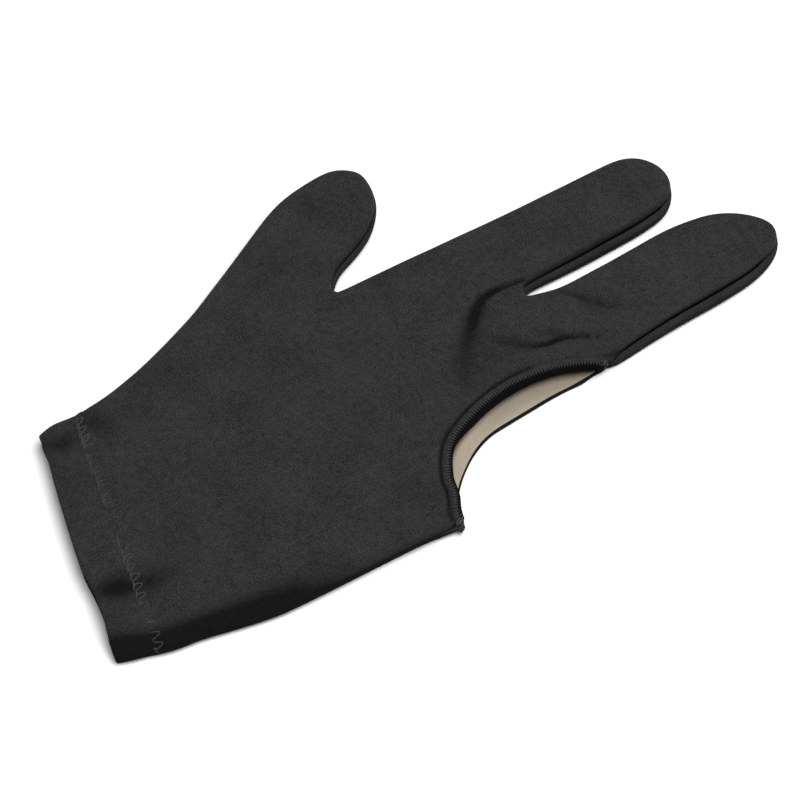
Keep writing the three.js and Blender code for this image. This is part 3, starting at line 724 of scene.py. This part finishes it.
lining = solid_copy("lining_sheet", "palm_lining")
points = eased(places(lining))
lower_bead = bead_line[bead_line[:, 2] < 2.0 * MM]
gap = np.linalg.norm(points[:, None, :2] - lower_bead[None, :, :2], axis=2)
out = lower_bead[gap.argmin(axis=1), :2] - points[:, :2]
out /= np.linalg.norm(out, axis=1)[:, None]
share = 1 - smooth_step(gap.min(axis=1), 2.2 * MM, 8.0 * MM)
share *= smooth_step(points[:, 1], -53 * MM, -46 * MM)
points[:, :2] += out * (share * DRAWN_OUT)[:, None]
points[:, 2] += np.where(points[:, 2] < LINING_MIDDLE, *LINING_LIFTS) * share
place(lining, points)
finer(lining)
closer_mesh(lining, lambda centres: from_upper_bead(centres) < 5 * MM)
points = places(lining)
gap = np.linalg.norm(points[:, None, :2] - upper_bead[None, :, :2], axis=2)
near = upper_bead[gap.argmin(axis=1), :2]
outward = ((points[:, :2] - near) * (OPENING_PLACE - near)).sum(axis=1) > 0
beyond = np.where(outward, gap.min(axis=1), -gap.min(axis=1)) / MM
shade_x, shade_in, shade_out = np.array(EDGE_SHADE).T
low, high = (np.interp(points[:, 0] / MM, shade_x, ends) for ends in (shade_in, shade_out))
# Painted shadow under the upper edge, and a broader painted shade near it that grows towards the middle
# finger.
deep = 1 - smooth_step(beyond, low, high)
wide = 0.36 * smooth_step(points[:, 0], -2 * MM, 20 * MM) * (1 - smooth_step(beyond, 2, 9))
store_painted_shade(lining, np.maximum(deep, wide) * 0.93)
lining.data.materials.append(lining_finish())
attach(lining, "root")
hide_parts("palm_lining")

# Hem of the cuff
# The knit turned in round the wrist as a second layer 12 mm deep, seen as a second line in the mouth of the
# cuff and caught by a zigzag stitch.

hem = solid_copy("cuff_hem_band", "cuff_hem")
shape_cuff(hem)
finer(hem)
settle(hem, upper=True)
place(hem, slumped(places(hem)))
lay_out(hem, face_height=7.4 * MM)
paint_shade(hem, upper=True)
hem.data.materials.append(knit_finish("charcoal_knit_hem", dark=(0.0027, 0.0027, 0.0028),
                                      light=(0.0235, 0.0235, 0.0247)))
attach(hem, "root")
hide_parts("cuff_hem")

# Zigzag stitch of the hem
# One polyester thread that runs all round the cuff, 11 mm from its edge, in loose zigzags. It is pulled into
# the knit at each needle hole, and sinks into the pile where the cuff is stretched smooth.

ZIGZAG_WIDTH = 3.2 * MM
ZIGZAG_PITCH = 3.0 * MM
ZIGZAG_THREAD = 0.22 * MM
POINTS_PER_ZIGZAG = 12
WIDEST_SWING = 0.94
NEEDLE_SHARE = 0.04
NEEDLE_DEPTH = 0.16 * MM
# Where the thread stands out of the knit: place along the cuff and half width of the stretch, in mm.
STANDS_OUT = [(33, 5), (-17, 5.5)]
CUFF_REACH = (-32.8 * MM, 29.6 * MM)
FLAT_RAYS, TURN_RAYS = 60, 40


def thread_finish(name, dark, light):
    """Spun polyester thread with slightly uneven fibres."""
    thread = Finish(name)
    spot = thread.node("ShaderNodeTexCoord", output=3)
    fibre = thread.node("ShaderNodeTexNoise", None, {"Vector": spot, "Scale": 3000.0, "Detail": 3.0})
    colour = thread.blend(fibre * 1.6 - 0.3, dark, light)
    bump = thread.node("ShaderNodeBump", None, {"Height": fibre, "Strength": 0.5, "Distance": 0.08 * MM})
    return thread.surface({"Base Color": colour, "Roughness": 0.6, "Specular IOR Level": 0.35,
                           "Sheen Weight": 0.15, "Sheen Roughness": 0.4, "Normal": bump})


def thread_along(name, points, radius, sides=0, shares=None):
    """A round thread laid in a ring along the points, of one radius or of a share of it at each point."""
    line = bpy.data.curves.new(name, "CURVE")
    line.dimensions = "3D"
    line.bevel_depth = radius
    line.bevel_resolution = sides
    spline = line.splines.new("POLY")
    spline.points.add(len(points) - 1)
    spline.points.foreach_set("co", np.column_stack([points, np.ones(len(points))]).ravel())
    if shares is not None:
        spline.points.foreach_set("radius", shares)
    spline.use_cyclic_u = True
    piece = bpy.data.objects.new(name, line)
    bpy.context.scene.collection.objects.link(piece)
    alone(piece)
    bpy.ops.object.convert(target="MESH")
    piece = bpy.context.view_layer.objects.active
    bpy.ops.object.shade_smooth()
    return piece


def cuff_rays(inside):
    """Rays at the cuff from all round, over its top first, at a distance in from its edge."""
    middle = CUFF_PLACE + CUFF_INWARD * inside
    ends = [middle + CUFF_ALONG * reach for reach in CUFF_REACH]
    rays = []
    for side, first, last in ((1, ends[0], ends[1]), (-1, ends[1], ends[0])):
        for share in np.linspace(0, 1, FLAT_RAYS):
            rays.append((Vector((*(first + (last - first) * share), side * HIGH_UP)), DOWN * side))
        for turn in np.linspace(0, math.pi, TURN_RAYS)[1:-1]:
            out = Vector((*(side * CUFF_ALONG * math.sin(turn)), side * math.cos(turn)))
            rays.append((Vector((*last, SEAM_HEIGHT)) + out * HIGH_UP, -out))
    return rays


def cuff_section(inside, count, trees):
    """Places all round the cuff's cloth at a distance in from its edge, and the length of the way round."""
    hits = []
    for start, way in cuff_rays(inside):
        found = [tree.ray_cast(start, way) for tree in trees]
        found = [hit for hit in found if hit[0] is not None]
        if found:
            spot = min(found, key=lambda hit: hit[3])[0]
            at = (np.array(spot[:2]) - CUFF_PLACE) @ CUFF_ALONG / MM
            shown = sum(1.3 * bell(at - middle, width) for middle, width in STANDS_OUT)
            shown += 0.9 * noise.noise(spot / (4 * MM)) - 0.8
            hits.append(spot - way * (ZIGZAG_THREAD * shown))
    looped = np.array(hits + hits[:1])
    reach = np.concatenate([[0], np.cumsum(np.linalg.norm(np.diff(looped, axis=0), axis=1))])
    wanted = np.arange(count) / count * reach[-1]
    return np.column_stack([np.interp(wanted, reach, looped[:, k]) for k in range(3)]), reach[-1]


cloth_trees = [surface_tree(back), surface_tree(palm)]
_, cuff_round = cuff_section(HEM_LINE, 100, cloth_trees)
count = int(round(cuff_round / ZIGZAG_PITCH)) * POINTS_PER_ZIGZAG
depths = np.linspace(-0.5, 0.5, 9) * ZIGZAG_WIDTH + HEM_LINE
sections = np.array([cuff_section(depth, count, cloth_trees)[0] for depth in depths])
stitch_points = []
for i in range(count):
    zigzags = i / POINTS_PER_ZIGZAG
    from_middle = abs(2 * (i % POINTS_PER_ZIGZAG) / POINTS_PER_ZIGZAG - 1)
    swing = math.sin((1 - from_middle * 2) * math.pi / 2)
    swing *= 0.85 + 0.5 * noise.noise(Vector((zigzags * 0.7, 3.0, 1.0)))
    swing += 0.25 * noise.noise(Vector((zigzags * 1.3, 8.0, 4.0)))
    swing = max(-WIDEST_SWING, min(WIDEST_SWING, swing)) / WIDEST_SWING
    row = (swing * 0.5 + 0.5) * (len(depths) - 1)
    low = min(int(row), len(depths) - 2)
    spot = sections[low, i] + (sections[low + 1, i] - sections[low, i]) * (row - low)
    if not NEEDLE_SHARE <= from_middle <= 1 - NEEDLE_SHARE:
        inwards = np.array([spot[0], spot[1], SEAM_HEIGHT]) - spot
        spot = spot + inwards / max(np.linalg.norm(inwards), 1e-6) * NEEDLE_DEPTH
    stitch_points.append(spot)
stitch_points = np.array(stitch_points)
stitch_points[:, 2] = np.maximum(stitch_points[:, 2], ZIGZAG_THREAD * 1.4)
zigzag = thread_along("hem_zigzag", stitch_points, ZIGZAG_THREAD, sides=1)
zigzag.data.materials.append(thread_finish("charcoal_thread", dark=(0.003, 0.003, 0.0032),
                                           light=(0.019, 0.019, 0.02)))
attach(zigzag, "root")

# Edging of the opening
# The cut edge round the bare fingers is rolled over and overlocked into a soft band. It runs round both
# layers and ends in a small nub where the side seam was tied off.

BAND_RADIUS = 0.95 * MM
BAND_HALF = 1.4 * MM
BAND_SHIFT = 0.35 * MM
BAND_DROP = 2.2 * MM
# The way in and up along which the painted shade of the lip fades out towards the top of the band.
TOP_SLANT = 0.927, 0.374
# How far the lip under the upper layer reaches out at each x, in mm.
LIP = [(-8, 0), (-5, 0.1), (-2, 0.3), (1, 0.9), (4, 1.35), (20, 1.4), (27, 0.9), (35, 0.65), (42, 0.5),
       (46, 0)]


def band_frames(line):
    """Directions in towards the cloth and up from it, at each place of the line."""
    ahead = np.roll(line, -1, axis=0) - np.roll(line, 1, axis=0)
    ahead /= np.linalg.norm(ahead, axis=1)[:, None]
    inward = np.zeros_like(line)
    inward[:, :2] = line[:, :2] - OPENING_PLACE
    inward -= (inward * ahead).sum(axis=1)[:, None] * ahead
    inward /= np.linalg.norm(inward, axis=1)[:, None]
    return inward, np.cross(ahead, inward)


band_inward, band_up = band_frames(bead_line)


def band_shape(centres, inward, sideways, rise):
    """Places on the band worked out from its round section, and their painted shade.

    The upper layer's band is wide, and a lip of it hangs down into the opening."""
    share = smooth_step(centres[:, 2], 4.0 * MM, 7.5 * MM)
    low = np.clip(-rise / BAND_RADIUS, 0, 1)
    lip = np.interp(centres[:, 0] / MM, *np.array(LIP).T) * MM
    lip *= smooth_step(centres[:, 1], -42 * MM, -37 * MM)
    drop = BAND_DROP * (0.3 + 0.7 * smooth_step(centres[:, 1], -45 * MM, -38 * MM))
    corner = 1 - 0.45 * smooth_step(centres[:, 0], 40 * MM, 48 * MM)
    wider = 1 + (BAND_HALF / BAND_RADIUS - 1) * share
    out = sideways * wider * corner + (BAND_SHIFT * corner - lip * low) * share
    made = centres + inward * out[:, None]
    made[:, 2] += rise - share * low * drop
    towards_top = out * TOP_SLANT[0] + (made[:, 2] - centres[:, 2]) * TOP_SLANT[1]
    # Painted shade on the lip and the band's outer face, fading out towards its top.
    painted_band_shade = share * (1 - smooth_step(towards_top, 0.0, 1.2 * MM))
    # The lower layer's band is painted dark too, as a line of shade.
    painted_band_shade = np.maximum(painted_band_shade, 0.75 * (centres[:, 2] < 2 * MM))
    return made, painted_band_shade


edging = solid_copy("opening_band", "opening_edging")
place(edging, eased(places(edging)))
finer(edging)
points = places(edging)
nearest = np.linalg.norm(points[:, None, :] - bead_line[None, :, :], axis=2).argmin(axis=1)
offset = points - bead_line[nearest]
sideways = (offset * band_inward[nearest]).sum(axis=1)
high = bead_line[nearest, 2] > 4.0 * MM
shaped, painted_band_shade = band_shape(bead_line[nearest], band_inward[nearest], sideways, offset[:, 2])
points[high] = shaped[high]
points[:, 2] = np.maximum(np.where(bead_line[nearest, 2] < 2.0 * MM, points[:, 2] * 0.86, points[:, 2]), 0)
place(edging, points)
lay_out(edging, face_height=9.0 * MM)
store_painted_shade(edging, painted_band_shade * 1.15)
edging.data.materials.append(knit_finish("charcoal_knit_band", dark=(0.0028, 0.0028, 0.0029),
                                         light=(0.0245, 0.0245, 0.0257)))
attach(edging, "root")
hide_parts("opening_edging")

# Overlock thread of the opening
# A fine thread wound over the rolled edge in close turns, which leave a row of small dark hollows along it.
# Each turn is drawn tight into the lip under the edge and stands up on top of it.

OVERLOCK_PITCH = 0.85 * MM
OVERLOCK_THREAD = 0.25 * MM
POINTS_PER_TURN = 12
# One turn of the thread: degrees round the edge, share of the full thickness, and how far it is sunk in mm.
TURN = [(0, 1.0, 0.15), (60, 1.4, 0.15), (100, 1.0, 0.15), (135, 0.65, 0.06), (165, 0.3, 0.2),
        (185, 0.25, 0.4), (300, 0.3, 0.4), (360, 1.0, 0.15)]

steps = np.linalg.norm(np.roll(bead_line, -1, axis=0) - bead_line, axis=1)
reach = np.concatenate([[0], np.cumsum(steps)])
count = int(round(reach[-1] / OVERLOCK_PITCH)) * POINTS_PER_TURN
wanted = np.arange(count) / count * reach[-1]


def round_the_band(values):
    """Values along the band, read at the thread's places."""
    looped = np.vstack([values, values[:1]])
    return np.column_stack([np.interp(wanted, reach, looped[:, k]) for k in range(looped.shape[1])])


centre = round_the_band(bead_line)
inward = round_the_band(band_inward)
up = round_the_band(band_up)
angle = np.arange(count) / POINTS_PER_TURN * 2 * math.pi
turn_degrees, turn_thickness, turn_sunk = np.array(TURN).T
degrees = np.mod(np.degrees(angle), 360)
thickness = np.interp(degrees, turn_degrees, turn_thickness)
outside = BAND_RADIUS - np.interp(degrees, turn_degrees, turn_sunk) * MM
coil, _ = band_shape(centre, inward, np.cos(angle) * outside, np.sin(angle) * outside)
round_bead = centre + inward * (np.cos(angle) * outside)[:, None] + up * (np.sin(angle) * outside)[:, None]
high = smooth_step(centre[:, 2], 4.0 * MM, 7.0 * MM)
coil = coil * high[:, None] + round_bead * (1 - high)[:, None]
thickness = thickness * high + 0.6 * (1 - high)
coil[:, 2] = np.maximum(coil[:, 2], OVERLOCK_THREAD * 1.8)
overlock = thread_along("opening_overlock", coil, OVERLOCK_THREAD, shares=thickness)
overlock.data.materials.append(thread_finish("charcoal_overlock", dark=(0.0026, 0.0026, 0.0028),
                                             light=(0.0145, 0.0145, 0.0153)))
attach(overlock, "root")

# Floor, light and camera
# A plain pale floor under soft studio light from almost straight above, and a long lens that looks down on
# the glove from the little finger's side.

SKY_STRENGTH = 0.32
CAMERA_TARGET = Vector((-8.192, -14.614, 0.0)) * MM
CAMERA_DISTANCE = 750 * MM
CAMERA_AZIMUTH, CAMERA_ELEVATION = math.radians(-30), math.radians(65)

bpy.ops.mesh.primitive_plane_add(size=6.0, location=(0, 0, 0))
floor = bpy.context.object
floor.name = "floor"
pale = Finish("pale_floor")
floor.data.materials.append(pale.surface({"Base Color": (0.72, 0.72, 0.72, 1), "Roughness": 0.8,
                                          "Specular IOR Level": 0.1}))

sky = bpy.data.worlds.new("studio")
sky.use_nodes = True
glow = sky.node_tree.nodes["Background"]
glow.inputs["Color"].default_value = (1.0, 1.0, 1.0, 1.0)
glow.inputs["Strength"].default_value = SKY_STRENGTH
bpy.context.scene.world = sky
bpy.context.scene.view_settings.view_transform = "Standard"


def soft_light(name, spot, size, power):
    """A large square lamp that shines on the glove."""
    lamp = bpy.data.lights.new(name, "AREA")
    lamp.shape, lamp.size, lamp.energy = "SQUARE", size, power
    held = bpy.data.objects.new(name, lamp)
    held.location = spot
    held.rotation_euler = (-Vector(spot)).to_track_quat("-Z", "Y").to_euler()
    bpy.context.scene.collection.objects.link(held)


soft_light("key", (0.2, -0.2, 1.4), 0.8, 30.0)
soft_light("fill", (0.9, -0.5, 1.4), 1.2, 4.0)

level = math.cos(CAMERA_ELEVATION)
away = Vector((math.sin(CAMERA_AZIMUTH) * level, -math.cos(CAMERA_AZIMUTH) * level,
               math.sin(CAMERA_ELEVATION)))
lens = bpy.data.cameras.new("camera")
lens.lens, lens.sensor_width, lens.clip_start = 116.0, 36.0, 0.01
camera = bpy.data.objects.new("camera", lens)
camera.location = CAMERA_TARGET + away * CAMERA_DISTANCE
camera.rotation_euler = away.to_track_quat("Z", "Y").to_euler()
bpy.context.scene.collection.objects.link(camera)
bpy.context.scene.camera = camera
